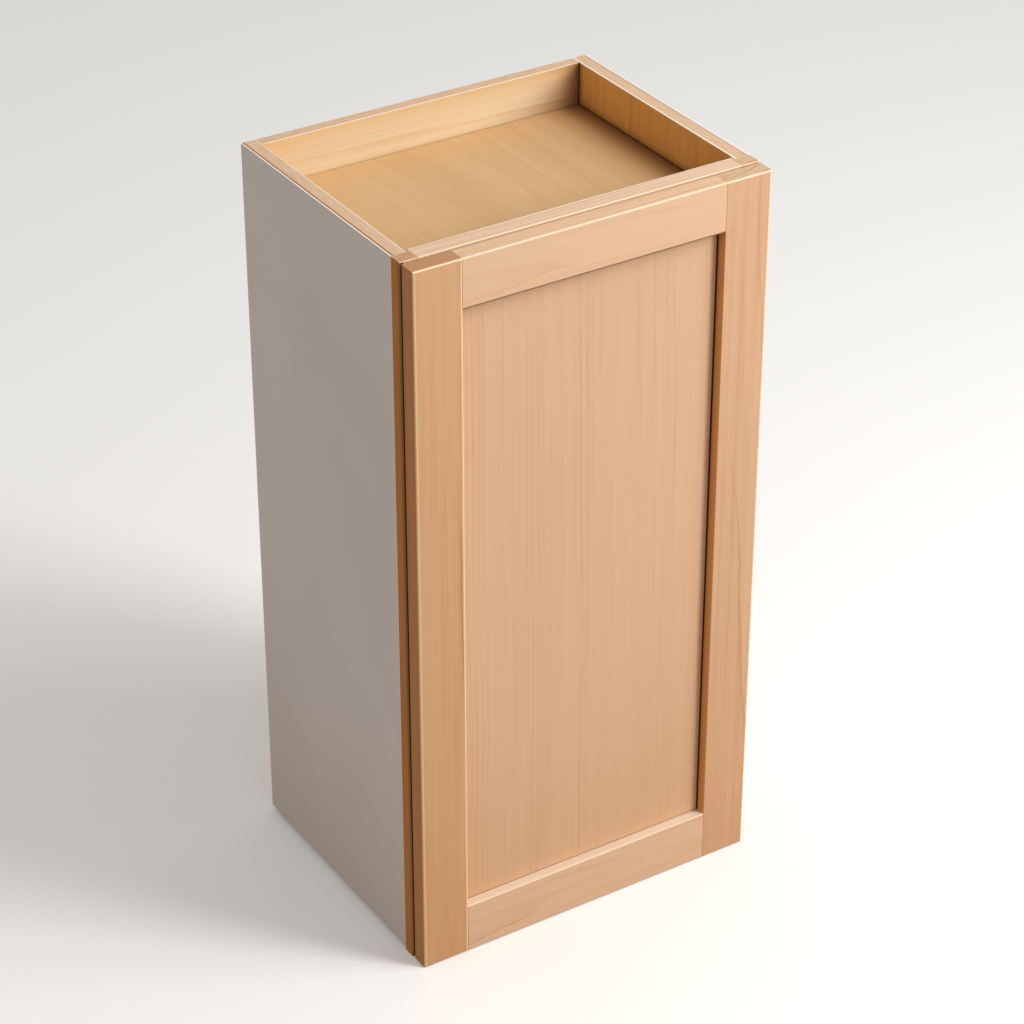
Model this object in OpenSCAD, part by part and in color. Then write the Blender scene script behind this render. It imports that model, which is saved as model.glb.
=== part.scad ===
// Hanging wall cabinet with a face frame and one framed door.
//
// The carcase is two laminated plywood sides with a recessed top, a bottom, a thin back
// and two hanging rails. A solid face frame is glued over its front edges, and a door
// with a flat panel hangs on the frame's right stile by two compact cup hinges.
// Millimetres, +Z up, the door faces -Y. The origin is the middle of the base.

/* [Cabinet] */
// Width across the face frame
cabinet_w = 381; // [300:1:600]
// Height of the face frame
cabinet_h = 762; // [610:1:1070]
// Depth from the wall to the front of the face frame
cabinet_d = 285.75; // [240:0.25:400]

/* [Carcase] */
// Thickness of a side panel without its laminate
side_t = 15; // [12:0.5:18]
// Thickness of the laminate on the outside of a side panel
skin_t = 0.9; // [0.5:0.1:1.5]
// Height of the side panels' lower ends above the base
side_lift = 6; // [0:0.5:15]
// Thickness of the top and bottom panels
panel_t = 12.7; // [9:0.1:18]
// Depth of the tray that the recessed top leaves
tray_depth = 43.7; // [20:0.1:60]
// Thickness of the back panel
back_t = 5; // [3:0.1:8]
// Thickness of the hanging rails
hang_rail_t = 12.7; // [9:0.1:19]
// Height of the hanging rails beyond the top and bottom panels
hang_rail_lap = 20; // [16:1:40]
// Depth of the grooves that the sides hold the panels in
groove_depth = 6; // [3:0.5:8]
// Depth of the step that seats the back panel in the top and bottom panels
back_seat = 5; // [3:0.5:8]
// Gap left at the bottom of every groove
groove_play = 0.3; // [0:0.1:1]
// Rounding of the sides' upper edges in the tray
panel_ease = 0.5; // [0.2:0.1:1]

/* [Face frame] */
// Thickness of the face frame
frame_t = 19.05; // [16:0.05:22]
// Width of the face frame's stiles
frame_stile_w = 19.05; // [18:0.05:30]
// Height of the face frame's top rail below the top panel
frame_top_lip = 7.1; // [4:0.1:30]
// Height of the face frame's bottom rail
frame_bottom_rail_h = 44.5; // [38:0.5:70]
// Depth that the carcase laps into the back of the face frame
frame_lap = 5; // [3:0.5:7]
// Rounding of the face frame's edges
frame_ease = 1; // [0.2:0.1:1]
// Diameter of the dowels in the face frame's joints
dowel_d = 8; // [6:0.5:9]
// Length of a dowel in the rail
dowel_in_rail = 20; // [10:1:30]
// Length of a dowel in the stile
dowel_in_stile = 12; // [8:0.5:15]
// Distance between the two dowels of a joint
dowel_spacing = 24; // [16:1:28]

/* [Shelves] */
// Thickness of a shelf
shelf_t = 15; // [12:0.5:20]
// Thickness of the band on a shelf's front edge
edging_t = 0.9; // [0.5:0.1:3]
// Gap between a shelf's front and the face frame
shelf_setback = 6; // [2:0.5:40]
// Gap between a shelf's ends and the side panels
shelf_end_gap = 1.5; // [1.2:0.1:4]
// Gap between a shelf and the back panel
shelf_back_gap = 2; // [0.5:0.5:5]
// Diameter of the holes for the shelf supports
pin_hole_d = 5; // [4:0.1:7]
// Depth of the holes for the shelf supports
pin_hole_depth = 10; // [8:0.5:11]
// Clearance round a shelf support in its hole
pin_hole_fit = 0.05; // [0.02:0.01:0.2]
// Vertical pitch of the holes
pin_hole_pitch = 32; // [20:1:35]
// Number of holes in each group
pin_hole_count = 5; // [1:2:5]
// Distance from the rows of holes to the frame and to the back
pin_row_inset = 37; // [20:1:60]
// Length of a shelf support in its hole
pin_l = 8; // [6:0.5:8]
// Diameter of the collar on a shelf support
pin_collar_d = 8; // [6:0.5:12]
// Thickness of the collar on a shelf support
pin_collar_t = 1; // [0.6:0.1:1.2]
// Length of the tongue that the shelf lies on
tongue_l = 9; // [6:0.5:15]
// Width of the tongue
tongue_w = 7; // [5:0.5:10]
// Thickness of the tongue
tongue_t = 1.6; // [1:0.1:3]
// Rounding of the tongue's free corners
tongue_corner = 2.4; // [0.5:0.1:2.5]
// Thickness of the web under the tongue
tongue_web_t = 1.5; // [0.8:0.1:3]

/* [Door] */
// Thickness of the door's stiles and rails
door_t = 19.05; // [17:0.05:25]
// Gap between the back of the door and the face frame
door_gap = 2.5; // [2:0.1:4]
// Face frame left uncovered all round the door
reveal = 0.5; // [0.5:0.1:4]
// Width of the door's stiles
door_stile_w = 50; // [50:0.5:80]
// Height of the door's top rail
door_top_rail_h = 50; // [40:0.5:90]
// Height of the door's bottom rail
door_bottom_rail_h = 55; // [40:0.5:90]
// Depth of the panel's face behind the front of the door
panel_recess = 10.5; // [5:0.1:11]
// Thickness of the door panel
door_panel_t = 5.2; // [4:0.1:6]
// Depth of the groove round the door panel
door_groove_depth = 9.5; // [6:0.5:11]
// Clearance between the panel's faces and the groove
panel_fit = 0.08; // [0.02:0.01:0.3]
// Distance of the rails' stub tenons from the ends of the door
tenon_shoulder = 12; // [5:0.5:20]
// Gap between the panel's edges and the groove's bottom
panel_play = 1.5; // [0.5:0.1:3]
// Rounding of the door's outer front edges
door_ease = 2; // [0.5:0.1:4]
// Rounding of the door's other edges
door_inner_ease = 1.2; // [0.3:0.1:1.5]

/* [Bumpers] */
// Diameter of a bumper
bumper_d = 9; // [6:0.5:12]
// Gap between a bumper and the face frame
bumper_gap = 0.3; // [0.1:0.1:0.6]
// Distance of the bumpers from the corners of the door
bumper_inset = 9; // [7:0.5:9]

/* [Hinges] */
// Distance of the hinges from the ends of the door
hinge_inset = 89; // [85:1:160]
// Diameter of the cup
cup_d = 35; // [34:0.5:36]
// Wood left between the cup and the edge of the door
cup_tab = 3; // [2.5:0.1:4]
// Thickness of the cup's wall
cup_wall = 0.8; // [0.5:0.1:0.9]
// Thickness of the cup's floor
cup_floor = 1; // [0.6:0.1:2]
// Distance of the pivot from the edge of the door
pivot_in = 7; // [6.8:0.1:7.2]
// Distance of the pivot below the back of the door
pivot_deep = 9.5; // [9:0.1:10]
// Diameter of the hinge pin
pin_d = 2.2; // [1.8:0.1:2.4]
// Clearance between the hinge pin and the arm's eye
pin_fit = 0.05; // [0.02:0.01:0.1]
// Diameter of the arm's eye
eye_d = 4.4; // [3.8:0.1:4.6]
// Clearance round the eye inside the cup
eye_gap = 0.3; // [0.2:0.05:0.5]
// Thickness of the arm
arm_t = 1.5; // [1:0.1:1.8]
// Width of the arm
arm_w = 9.4; // [7:0.1:9.6]
// Thickness of the cheeks that hold the pin
cheek_t = 1.5; // [1:0.1:2.5]
// Length of the cheeks on the free side of the pin
cheek_l = 5; // [3:0.5:8]
// Depth of the cheeks below the mouth of the cup
cheek_drop = 1.5; // [0.5:0.1:4]
// Diameter of the riveted ends of the pin
rivet_d = 3.4; // [2.8:0.1:4]
// Thickness of the riveted ends of the pin
rivet_t = 0.5; // [0.3:0.1:0.8]
// Width that the cup's flange shows round the cup
flange_lip = 1; // [0.4:0.1:1.2]
// Thickness of the cup's flange
flange_t = 1; // [0.6:0.1:1.2]
// Distance between the two screws of a cup
cup_screw_spacing = 45; // [44:0.5:52]
// Distance of those screws behind the middle of the cup
cup_screw_offset = 9.5; // [5:0.5:10]
// Width of the ends of the flange
flange_end_w = 13; // [10:0.5:16]
// Distance that the arm stands off the face frame
arm_standoff = 3.5; // [3:0.1:5]
// Width of the arm's foot along the frame's edge
foot_w = 14; // [11:0.5:15]
// Height of the arm's foot
foot_h = 34; // [30:1:50]
// Rounding of the foot's corners
foot_corner = 3; // [1:0.5:5]
// Distance of the foot behind the front of the face frame
foot_setback = 1; // [0.5:0.1:2]
// Distance between the two screws of a foot
foot_screw_spacing = 23; // [20:0.5:25]

/* [Screws] */
// Diameter of the hinge screws
screw_d = 3.5; // [2.5:0.1:4]
// Length of the hinge screws in the wood
screw_l = 11; // [6:0.5:12]
// Diameter of the screw heads
screw_head_d = 6.8; // [5.5:0.1:7]
// Height of the screw heads
screw_head_t = 1.2; // [0.8:0.1:1.4]
// Width of the cross slot in the screw heads
slot_w = 0.9; // [0.5:0.1:1.5]
// Length of the cross slot in the screw heads
slot_l = 4; // [2:0.1:5]
// Depth of the cross slot in the screw heads
slot_deep = 0.7; // [0.3:0.1:0.8]

/* [Hidden] */
$fn = 64;

maple = "#E3BC90";
maple_ply = "#EBCB98";
maple_veneer = "#E6C39B";
laminate = "#F2F0EC";
nickel = "#B9BABB";
edge_band = "#E2C08E";
clear_rubber = "#D8DADB";

// Length by which a cut runs past the face that it opens
over = 1;
sharp = [0, 0, 0, 0];

// Faces of the carcase, from the wall at +Y to the door's front at -Y
half_w = cabinet_w / 2;
overall_d = cabinet_d + door_gap + door_t;
y_wall = overall_d / 2;
y_hang_rail = y_wall - hang_rail_t;
y_back_panel = y_hang_rail - back_t;
y_frame = y_wall - cabinet_d;
y_frame_back = y_frame + frame_t;
y_side = y_frame_back - frame_lap;
y_door_back = y_frame - door_gap;
y_door = y_door_back - door_t;

// Inside of the carcase
inner_half_w = half_w - side_t - skin_t;
held_half_w = inner_half_w + groove_depth - groove_play;
z_floor = frame_bottom_rail_h;
z_ceiling = cabinet_h - tray_depth - panel_t;
y_held = y_side + groove_play;

// Openings of the face frame
frame_opening_half_w = half_w - frame_stile_w;
frame_top_rail_h = tray_depth + panel_t + frame_top_lip;
frame_opening_top = cabinet_h - frame_top_rail_h;
y_dowel = y_frame + (frame_t - frame_lap) / 2;
dowel_rows = [
    for (middle = [frame_bottom_rail_h / 2, cabinet_h - frame_top_rail_h / 2], k = [-1, 1])
        middle + k * dowel_spacing / 2
];

// Rows of holes for the shelf supports, and the shelves on the middle hole of each group
pin_rows_y = [y_side + pin_row_inset, y_back_panel - pin_row_inset];
shelf_rows_z = [for (i = [1, 2]) z_floor + (z_ceiling - z_floor) * i / 3];
tongue_top = (pin_hole_d - 2 * pin_hole_fit) / 2;
shelf_half_w = inner_half_w - shelf_end_gap;
y_shelf = y_frame_back + shelf_setback;
shelf_d = y_back_panel - shelf_back_gap - y_shelf;

// Outline of the door and of the panel's opening
door_half_w = half_w - reveal;
door_h = cabinet_h - 2 * reveal;
z_door = reveal;
door_opening_half_w = door_half_w - door_stile_w;
z_opening = z_door + door_bottom_rail_h;
z_opening_top = z_door + door_h - door_top_rail_h;
door_groove_w = door_panel_t + 2 * panel_fit;
y_groove = y_door + panel_recess - panel_fit;

// The hinges are drawn round their pivot: +X to the door's edge, +Y to the wall
pivot_x = door_half_w - pivot_in;
pivot_y = y_door_back - pivot_deep;
hinge_rows_z = [z_door + hinge_inset, z_door + door_h - hinge_inset];
cup_x = pivot_in - cup_tab - cup_d / 2;
cup_depth = pivot_deep + eye_d / 2 + eye_gap + cup_floor;
cup_inner_r = cup_d / 2 - cup_wall;
cheek_in = arm_w / 2 + eye_gap;
frame_edge = frame_opening_half_w - pivot_x;
frame_face = pivot_deep + door_gap;
riser_x = frame_edge - arm_standoff - arm_t / 2;
strip_y = (arm_t - eye_d) / 2;
foot_x = frame_edge - arm_t / 2;
foot_y = frame_face + foot_setback;
foot_middle = foot_y + foot_w / 2;

// Rectangle from the origin, its corners rounded by r, anticlockwise from the origin
module eased_rect(size, r) {
    corners = [[0, 0], [size[0], 0], size, [0, size[1]]];
    difference() {
        square(size);
        for (i = [0:3])
            if (r[i] > 0)
                translate(corners[i])
                    rotate(90 * i)
                        difference() {
                            translate([-over, -over]) square(r[i] + over);
                            translate([r[i], r[i]]) circle(r[i]);
                        }
    }
}

// Runs a section in Y and Z along +X
module along_x(length) {
    rotate([90, 0, 90]) linear_extrude(length) children();
}

// Runs a section in X and Z along +Y
module along_y(length) {
    translate([0, length, 0]) rotate([90, 0, 0]) linear_extrude(length) children();
}

// Board whose long edges are rounded: xy for the edges along Z, yz for those along X
module eased_board(size, xy, yz) {
    intersection() {
        linear_extrude(size[2]) eased_rect([size[0], size[1]], xy);
        along_x(size[0]) eased_rect([size[1], size[2]], yz);
    }
}

// Centred rectangle with round corners
module rounded_plate(size, r) {
    translate(-size / 2) eased_rect(size, [r, r, r, r]);
}

// Sheet metal of thickness t bent along a line of points
module bent_strip(points, t) {
    for (i = [1:len(points) - 1]) {
        run = points[i] - points[i - 1];
        translate(points[i - 1])
            rotate(atan2(run[1], run[0]))
                translate([0, -t / 2])
                    square([norm(run), t]);
    }
    for (i = [1:len(points) - 2])
        translate(points[i]) circle(d = t);
}

// Screw along -Z with its head on the origin's plane
module screw() {
    translate([0, 0, -screw_l]) cylinder(d = screw_d, h = screw_l);
    difference() {
        intersection() {
            cylinder(d = screw_head_d, h = screw_head_t);
            cap_r = (pow(screw_head_d / 2, 2) + pow(screw_head_t, 2)) / (2 * screw_head_t);
            translate([0, 0, screw_head_t - cap_r]) sphere(cap_r);
        }
        for (turn = [0, 90])
            rotate(turn)
                translate([-slot_l / 2, -slot_w / 2, screw_head_t - slot_deep])
                    cube([slot_l, slot_w, slot_deep + over]);
    }
}

// Right side panel with its grooves and the holes for the shelf supports
module side_panel() {
    color(maple_ply)
        difference() {
            translate([inner_half_w, y_side, side_lift])
                along_y(y_wall - y_side)
                    eased_rect([side_t, cabinet_h - side_lift], [0, 0, 0, panel_ease]);
            for (z = [z_floor - panel_t, z_ceiling])
                translate([inner_half_w - over, y_side - over, z])
                    cube([groove_depth + over, y_hang_rail - y_side + over, panel_t]);
            translate([inner_half_w - over, y_back_panel, z_floor - back_seat])
                cube([groove_depth + over, back_t, z_ceiling - z_floor + 2 * back_seat]);
            for (y = pin_rows_y, z = shelf_rows_z, k = [0:pin_hole_count - 1])
                translate([inner_half_w - over, y, z + (k - (pin_hole_count - 1) / 2) * pin_hole_pitch])
                    rotate([0, 90, 0])
                        cylinder(d = pin_hole_d, h = pin_hole_depth + over);
        }
}

// White laminate on the right side panel
module side_skin() {
    color(laminate)
        translate([half_w - skin_t, y_side, side_lift])
            cube([skin_t, y_wall - y_side, cabinet_h - side_lift]);
}

// Top or bottom panel from its lower face up, stepped at the back for the back panel
module carcase_panel(z, step_z) {
    color(maple_ply)
        difference() {
            translate([-held_half_w, y_held, z])
                cube([2 * held_half_w, y_hang_rail - y_held, panel_t]);
            translate([-half_w, y_back_panel, step_z])
                cube([cabinet_w, back_t + over, back_seat + over]);
        }
}

module top_panel() {
    carcase_panel(z_ceiling, z_ceiling - over);
}

module bottom_panel() {
    carcase_panel(z_floor - panel_t, z_floor - back_seat);
}

module back_panel() {
    foot = z_floor - back_seat + groove_play;
    head = z_ceiling + back_seat - groove_play;
    color(maple_ply)
        translate([-held_half_w, y_back_panel, foot])
            cube([2 * held_half_w, back_t, head - foot]);
}

// Hanging rail between the sides, flush with the back of the cabinet
module hanging_rail(z, height) {
    color(maple_ply)
        translate([-inner_half_w, y_hang_rail, z])
            eased_board([2 * inner_half_w, hang_rail_t, height], sharp,
                        [panel_ease, panel_ease, panel_ease, panel_ease]);
}

module top_hanging_rail() {
    height = tray_depth + panel_t + hang_rail_lap;
    hanging_rail(cabinet_h - height, height);
}

module bottom_hanging_rail() {
    hanging_rail(0, frame_bottom_rail_h + hang_rail_lap);
}

// Grooves in the back of the face frame for the top and bottom panels
module frame_panel_grooves() {
    for (z = [z_floor - panel_t, z_ceiling])
        translate([-inner_half_w, y_side, z])
            cube([2 * inner_half_w, frame_lap + over, panel_t]);
}

// Bores for the dowels of the face frame's right joints
module frame_dowel_bores() {
    for (z = dowel_rows)
        translate([frame_opening_half_w - dowel_in_rail - groove_play, y_dowel, z])
            rotate([0, 90, 0])
                cylinder(d = dowel_d, h = dowel_in_rail + dowel_in_stile + 2 * groove_play);
}

// Right stile of the face frame, rabbeted over the side panel's front edge
module frame_stile() {
    color(maple)
        difference() {
            translate([frame_opening_half_w, y_frame, 0])
                eased_board([frame_stile_w, frame_t, cabinet_h],
                            [frame_ease, frame_ease, 0, 0], [frame_ease, 0, 0, frame_ease]);
            translate([inner_half_w, y_side, -over])
                cube([half_w - inner_half_w + over, frame_lap + over, cabinet_h + 2 * over]);
            frame_panel_grooves();
            frame_dowel_bores();
        }
}

// The hinge stile is bored for the screws of the hinges' feet
module frame_right_stile() {
    color(maple)
        difference() {
            frame_stile();
            for (z = hinge_rows_z)
                translate([pivot_x, pivot_y, z])
                    foot_screw_places()
                        translate([0, 0, -screw_l]) cylinder(d = screw_d, h = screw_l + over);
        }
}

// Rail of the face frame between the stiles
module frame_rail(z, height, ease) {
    color(maple)
        difference() {
            translate([-frame_opening_half_w, y_frame, z])
                eased_board([2 * frame_opening_half_w, frame_t, height], sharp, ease);
            frame_panel_grooves();
            frame_dowel_bores();
            mirror([1, 0, 0]) frame_dowel_bores();
        }
}

module frame_top_rail() {
    frame_rail(frame_opening_top, frame_top_rail_h, [frame_ease, 0, frame_ease, frame_ease]);
}

module frame_bottom_rail() {
    frame_rail(0, frame_bottom_rail_h, [frame_ease, frame_ease, 0, frame_ease]);
}

module frame_dowels() {
    color(maple_ply)
        for (side = [0, 1], z = dowel_rows)
            mirror([side, 0, 0])
                translate([frame_opening_half_w - dowel_in_rail, y_dowel, z])
                    rotate([0, 90, 0])
                        cylinder(d = dowel_d, h = dowel_in_rail + dowel_in_stile);
}

// Shelf lying on the supports of row i
module shelf(i) {
    color(maple_ply)
        translate([-shelf_half_w, y_shelf + edging_t, shelf_rows_z[i] + tongue_top])
            cube([2 * shelf_half_w, shelf_d - edging_t, shelf_t]);
}

// Band on the front edge of a shelf
module shelf_edging(i) {
    color(edge_band)
        translate([-shelf_half_w, y_shelf, shelf_rows_z[i] + tongue_top])
            cube([2 * shelf_half_w, edging_t, shelf_t]);
}

// Push-in support in the right side panel: stem, collar and the tongue under the shelf
module shelf_support() {
    stem_d = pin_hole_d - 2 * pin_hole_fit;
    rotate([0, 90, 0]) cylinder(d = stem_d, h = pin_l);
    translate([-pin_collar_t, 0, 0])
        intersection() {
            rotate([0, 90, 0]) cylinder(d = pin_collar_d, h = pin_collar_t);
            translate([-over, -pin_collar_d, -pin_collar_d])
                cube([pin_collar_t + 2 * over, 2 * pin_collar_d, pin_collar_d + tongue_top]);
        }
    translate([-pin_collar_t - tongue_l, -tongue_w / 2, tongue_top - tongue_t])
        linear_extrude(tongue_t)
            eased_rect([tongue_l + pin_collar_t, tongue_w], [tongue_corner, 0, 0, tongue_corner]);
    web_h = pin_collar_d / 2 + tongue_top - tongue_t;
    translate([-pin_collar_t, tongue_web_t / 2, tongue_top - tongue_t])
        rotate([90, 0, 0])
            linear_extrude(tongue_web_t)
                polygon([[0, 0], [-tongue_l / 2, 0], [0, -web_h]]);
}

module shelf_supports() {
    color(nickel)
        for (side = [0, 1], y = pin_rows_y, z = shelf_rows_z)
            mirror([side, 0, 0])
                translate([inner_half_w, y, z]) shelf_support();
}

// Groove for the door panel and the rails' stub tenons, stopped short of the stile's ends
module door_groove() {
    reach = door_opening_half_w + door_groove_depth;
    stop = tenon_shoulder - groove_play;
    translate([-reach, y_groove, z_door + stop])
        cube([2 * reach, door_groove_w, door_h - 2 * stop]);
}

// Right stile of the door without the hinge bores, grooved for the panel
module door_stile() {
    difference() {
        translate([door_opening_half_w, y_door, z_door])
            eased_board([door_stile_w, door_t, door_h],
                        [door_inner_ease, door_ease, door_inner_ease, 0],
                        [door_ease, door_inner_ease, door_inner_ease, door_ease]);
        door_groove();
    }
}

module door_left_stile() {
    color(maple) mirror([1, 0, 0]) door_stile();
}

// The hinge stile is bored for the cups and their screws
module door_right_stile() {
    color(maple)
        difference() {
            door_stile();
            for (z = hinge_rows_z)
                translate([pivot_x, pivot_y, z]) {
                    translate([cup_x, pivot_deep - cup_depth, 0])
                        rotate([-90, 0, 0]) cylinder(d = cup_d, h = cup_depth + over);
                    cup_screw_places()
                        translate([0, 0, -screw_l]) cylinder(d = screw_d, h = screw_l + over);
                }
        }
}

// Rail of the door: a board with a groove on its inner edge and a stub tenon at each end
module door_rail(z, height, groove_z, ease) {
    tenon_l = door_groove_depth - groove_play;
    groove_h = door_groove_depth;
    color(maple) {
        difference() {
            translate([-door_opening_half_w, y_door, z])
                eased_board([2 * door_opening_half_w, door_t, height], sharp, ease);
            translate([-half_w, y_groove, groove_z])
                cube([cabinet_w, door_groove_w, groove_h + over]);
        }
        tenon_z = groove_z < z ? z + groove_h : z + tenon_shoulder;
        for (side = [0, 1])
            mirror([side, 0, 0])
                translate([door_opening_half_w - over, y_groove + panel_fit, tenon_z])
                    cube([tenon_l + over, door_panel_t, height - groove_h - tenon_shoulder]);
    }
}

module door_top_rail() {
    door_rail(z_opening_top, door_top_rail_h, z_opening_top - over,
              [door_inner_ease, 0, door_inner_ease, door_ease]);
}

module door_bottom_rail() {
    door_rail(z_door, door_bottom_rail_h, z_opening - door_groove_depth,
              [door_ease, door_inner_ease, 0, door_inner_ease]);
}

// Flat panel, loose in the groove so that it can move with the seasons
module door_panel() {
    edge = door_groove_depth - panel_play;
    color(maple_veneer)
        translate([-door_opening_half_w - edge, y_groove + panel_fit, z_opening - edge])
            cube([2 * (door_opening_half_w + edge), door_panel_t,
                  z_opening_top - z_opening + 2 * edge]);
}

// Soft pads on the back of the door at its free corners
module door_bumpers() {
    pad_t = door_gap - bumper_gap;
    color(clear_rubber)
        for (z = [z_door + bumper_inset, z_door + door_h - bumper_inset])
            translate([-door_half_w + bumper_inset, y_door_back, z])
                rotate([-90, 0, 0])
                    intersection() {
                        cylinder(d = bumper_d, h = pad_t);
                        translate([0, 0, pad_t - bumper_d]) sphere(bumper_d);
                    }
}

// Places of a cup's two screws: +Z out of the door's back
module cup_screw_places() {
    for (k = [-1, 1])
        translate([cup_x - cup_screw_offset, pivot_deep, k * cup_screw_spacing / 2])
            rotate([-90, 0, 0]) children();
}

// Outline of the cup's flange, looking at the door's back
module flange_outline() {
    circle(d = cup_d + 2 * flange_lip);
    translate([-cup_screw_offset, 0]) {
        square([flange_end_w, cup_screw_spacing], center = true);
        for (k = [-1, 1])
            translate([0, k * cup_screw_spacing / 2]) circle(d = flange_end_w);
    }
}

// Cup with its flange and the two cheeks that carry the pin
module hinge_cup(z) {
    color(nickel)
        translate([pivot_x, pivot_y, z])
            difference() {
                union() {
                    translate([cup_x, pivot_deep, 0])
                        rotate([-90, 0, 0])
                            difference() {
                                union() {
                                    translate([0, 0, -cup_depth]) cylinder(d = cup_d, h = cup_depth);
                                    linear_extrude(flange_t) flange_outline();
                                }
                                translate([0, 0, cup_floor - cup_depth])
                                    cylinder(r = cup_inner_r, h = cup_depth + flange_t);
                            }
                    hinge_cheeks();
                }
                cylinder(d = pin_d, h = cup_d, center = true);
                cup_screw_places()
                    translate([0, 0, -over]) cylinder(d = screw_d, h = flange_t + 2 * over);
            }
}

// Cheeks on both sides of the eye, out to the wall of the cup
module hinge_cheeks() {
    height = cup_depth - cup_floor - cheek_drop;
    intersection() {
        for (side = [0, 1])
            mirror([0, 0, side])
                translate([-cheek_l, pivot_deep - cup_depth + cup_floor / 2, cheek_in])
                    cube([cup_d, height + cup_floor / 2, cheek_t]);
        translate([cup_x, pivot_deep - cup_depth, 0])
            rotate([-90, 0, 0]) cylinder(d = cup_d - cup_wall, h = cup_depth);
    }
}

module hinge_pins() {
    reach = cheek_in + cheek_t;
    color(nickel)
        for (z = hinge_rows_z)
            translate([pivot_x, pivot_y, z]) {
                cylinder(d = pin_d, h = 2 * reach, center = true);
                for (side = [0, 1])
                    mirror([0, 0, side])
                        translate([0, 0, reach]) cylinder(d = rivet_d, h = rivet_t);
            }
}

// Arm: an eye on the pin, a strip out of the cup, and a foot on the frame's inner edge
module hinge_arm(z) {
    path = [
        [0, strip_y], [riser_x, strip_y], [riser_x, foot_y + arm_t / 2],
        [foot_x, foot_y + arm_t / 2], [foot_x, foot_middle]
    ];
    color(nickel)
        translate([pivot_x, pivot_y, z])
            difference() {
                union() {
                    translate([0, 0, -arm_w / 2])
                        linear_extrude(arm_w) {
                            circle(d = eye_d);
                            bent_strip(path, arm_t);
                        }
                    translate([foot_x - arm_t / 2, foot_middle, 0])
                        along_x(arm_t) rounded_plate([foot_w, foot_h], foot_corner);
                }
                cylinder(d = pin_d + 2 * pin_fit, h = arm_w + 2 * over, center = true);
                foot_screw_places()
                    translate([0, 0, -arm_t - over]) cylinder(d = screw_d, h = arm_t + 2 * over);
            }
}

// Places of a foot's two screws: +Z out of the foot's free face
module foot_screw_places() {
    for (k = [-1, 1])
        translate([foot_x - arm_t / 2, foot_middle, k * foot_screw_spacing / 2])
            rotate([0, -90, 0]) children();
}

module cup_screws() {
    color(nickel)
        for (z = hinge_rows_z)
            translate([pivot_x, pivot_y, z])
                cup_screw_places() translate([0, 0, flange_t]) screw();
}

module arm_screws() {
    color(nickel)
        for (z = hinge_rows_z)
            translate([pivot_x, pivot_y, z]) foot_screw_places() screw();
}

mirror([1, 0, 0]) side_panel();  // left_side
side_panel();  // right_side
mirror([1, 0, 0]) side_skin();  // left_skin
side_skin();  // right_skin
top_panel();
bottom_panel();
back_panel();
top_hanging_rail();
bottom_hanging_rail();
mirror([1, 0, 0]) frame_stile();  // frame_left_stile
frame_right_stile();
frame_top_rail();
frame_bottom_rail();
frame_dowels();
shelf(0);  // lower_shelf
shelf(1);  // upper_shelf
shelf_edging(0);  // lower_shelf_edging
shelf_edging(1);  // upper_shelf_edging
shelf_supports();
door_left_stile();
door_right_stile();
door_top_rail();
door_bottom_rail();
door_panel();
door_bumpers();
hinge_cup(hinge_rows_z[0]);  // lower_hinge_cup
hinge_cup(hinge_rows_z[1]);  // upper_hinge_cup
hinge_pins();
hinge_arm(hinge_rows_z[0]);  // lower_hinge_arm
hinge_arm(hinge_rows_z[1]);  // upper_hinge_arm
cup_screws();
arm_screws();
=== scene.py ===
import math

import bpy
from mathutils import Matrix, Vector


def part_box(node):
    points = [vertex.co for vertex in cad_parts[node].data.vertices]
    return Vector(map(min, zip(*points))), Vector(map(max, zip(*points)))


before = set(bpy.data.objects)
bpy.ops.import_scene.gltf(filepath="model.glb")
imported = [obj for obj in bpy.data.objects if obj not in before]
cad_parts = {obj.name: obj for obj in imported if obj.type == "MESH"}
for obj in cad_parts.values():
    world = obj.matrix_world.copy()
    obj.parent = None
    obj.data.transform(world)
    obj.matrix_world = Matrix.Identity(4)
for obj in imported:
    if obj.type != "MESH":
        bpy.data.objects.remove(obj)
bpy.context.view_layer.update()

# ---------------------------------------------------------------- The studio
# The cabinet stands on a pale floor, seen from above its free left corner with a long
# lens. A soft front lamp on the right lights the door, one overhead lights the edges
# and the tray, and the pale sky fills the shaded side.
LOOK_AT = (0.0078, 0.0, 0.3782)
CAMERA_AT = (-1.4259, -2.2637, 2.0186)
CAMERA_LENS = 113.04
SENSOR_WIDTH = 36.0
SEEN_AS_FAR_AS = 100.0
FLOOR_SIZE = 60.0
FLOOR_COLOUR = "#F4F2EF"
FLOOR_BOUNCE = "#8F7863"
FLOOR_GLOW = 0.12
SKY_COLOUR = "#FFFFFF"
SKY_LIGHT = 0.50
BACKDROP_LIGHT = 0.62


def paint(code):
    """A colour written as #RRGGBB, as the linear values that a socket takes."""
    parts = [int(code[i : i + 2], 16) / 255 for i in (1, 3, 5)]
    return [p / 12.92 if p <= 0.04045 else ((p + 0.055) / 1.055) ** 2.4 for p in parts] + [1.0]


def add_node(tree, kind, inputs=None, **settings):
    """A shader node with its settings, and its inputs linked or set."""
    made = tree.nodes.new("ShaderNode" + kind)
    for name, value in settings.items():
        setattr(made, name, value)
    for socket, value in (inputs or {}).items():
        if isinstance(value, bpy.types.NodeSocket):
            tree.links.new(value, made.inputs[socket])
        else:
            made.inputs[socket].default_value = value
    return made


def mix_paint(tree, share, first, second, blend="MIX"):
    """One colour laid over another by a share."""
    inputs = {0: share, 6: first, 7: second}
    return add_node(tree, "Mix", inputs, data_type="RGBA", blend_type=blend).outputs[2]


def start_finish(name):
    """A new material with its tree and its shader."""
    finish = bpy.data.materials.new(name)
    finish.use_nodes = True
    return finish, finish.node_tree, finish.node_tree.nodes["Principled BSDF"]


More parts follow.
